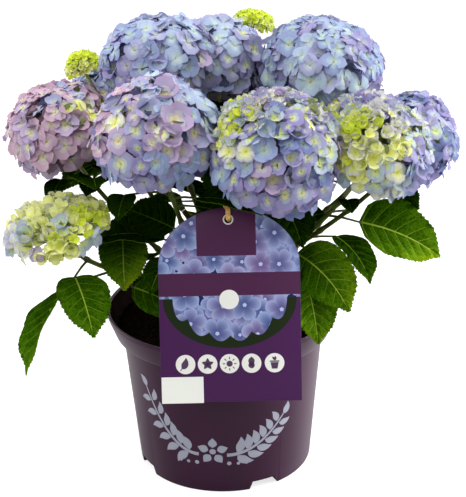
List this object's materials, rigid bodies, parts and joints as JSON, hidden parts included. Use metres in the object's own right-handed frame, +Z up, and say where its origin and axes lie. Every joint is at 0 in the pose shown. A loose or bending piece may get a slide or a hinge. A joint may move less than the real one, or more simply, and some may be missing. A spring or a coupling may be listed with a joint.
{
  "type": "potted hydrangea shrub",
  "caption": "Mophead hydrangea in a tapered nursery pot: canes from a low woody crown, opposite leaves, domed lilac and yellow-green flower heads, arched tag",
  "frame": {"origin": "centre of the pot's flat underside", "axes": "+Z up, the tag and the fullest side face -Y"},
  "size_m": [0.4392, 0.3581, 0.4571],
  "materials": {
    "pot plastic": "satin dark purple plastic",
    "peat": "damp dark peat",
    "old wood": "rough grey-brown bark",
    "cane bark": "thin brown-green bark",
    "leaf green": "glossy green leaf",
    "lilac petals": "soft satin petals from pale blue to pink lilac",
    "bud green": "pale yellow-green buds",
    "tag card": "glossy printed card",
    "straw tie": "dry tan straw"
  },
  "bodies": {
    "root": {"pot": "pot plastic", "soil": "peat", "woody_crown": "old wood", "tag": "tag card", "tag_tie": "straw tie", "cane_front_right": "cane bark", "shoot_front_right": "leaf green", "bloom_front_right": "lilac petals", "cane_front_left": "cane bark", "shoot_front_left": "leaf green", "bloom_front_left": "lilac petals", "cane_right": "cane bark", "shoot_right": "leaf green", "bloom_right": "lilac petals", "cane_far_right": "cane bark", "shoot_far_right": "leaf green", "bloom_far_right": "lilac petals", "cane_left": "cane bark", "shoot_left": "leaf green", "bloom_left": "lilac petals", "cane_low_left": "cane bark", "shoot_low_left": "leaf green", "bloom_low_left": "lilac petals", "cane_top_left": "cane bark", "shoot_top_left": "leaf green", "bloom_top_left": "lilac petals", "cane_top_middle": "cane bark", "shoot_top_middle": "leaf green", "bloom_top_middle": "lilac petals", "cane_top_right": "cane bark", "shoot_top_right": "leaf green", "bloom_top_right": "lilac petals", "cane_bud_left": "cane bark", "shoot_bud_left": "leaf green", "bloom_bud_left": "bud green", "cane_bud_middle": "cane bark", "shoot_bud_middle": "leaf green", "bloom_bud_middle": "bud green", "cane_back_left": "cane bark", "shoot_back_left": "leaf green", "bloom_back_left": "lilac petals", "cane_back": "cane bark", "shoot_back": "leaf green", "bloom_back": "lilac petals", "cane_back_right": "cane bark", "shoot_back_right": "leaf green", "bloom_back_right": "lilac petals", "cane_rear_right": "cane bark", "shoot_rear_right": "leaf green", "bloom_rear_right": "lilac petals"}
  },
  "joints": []
}
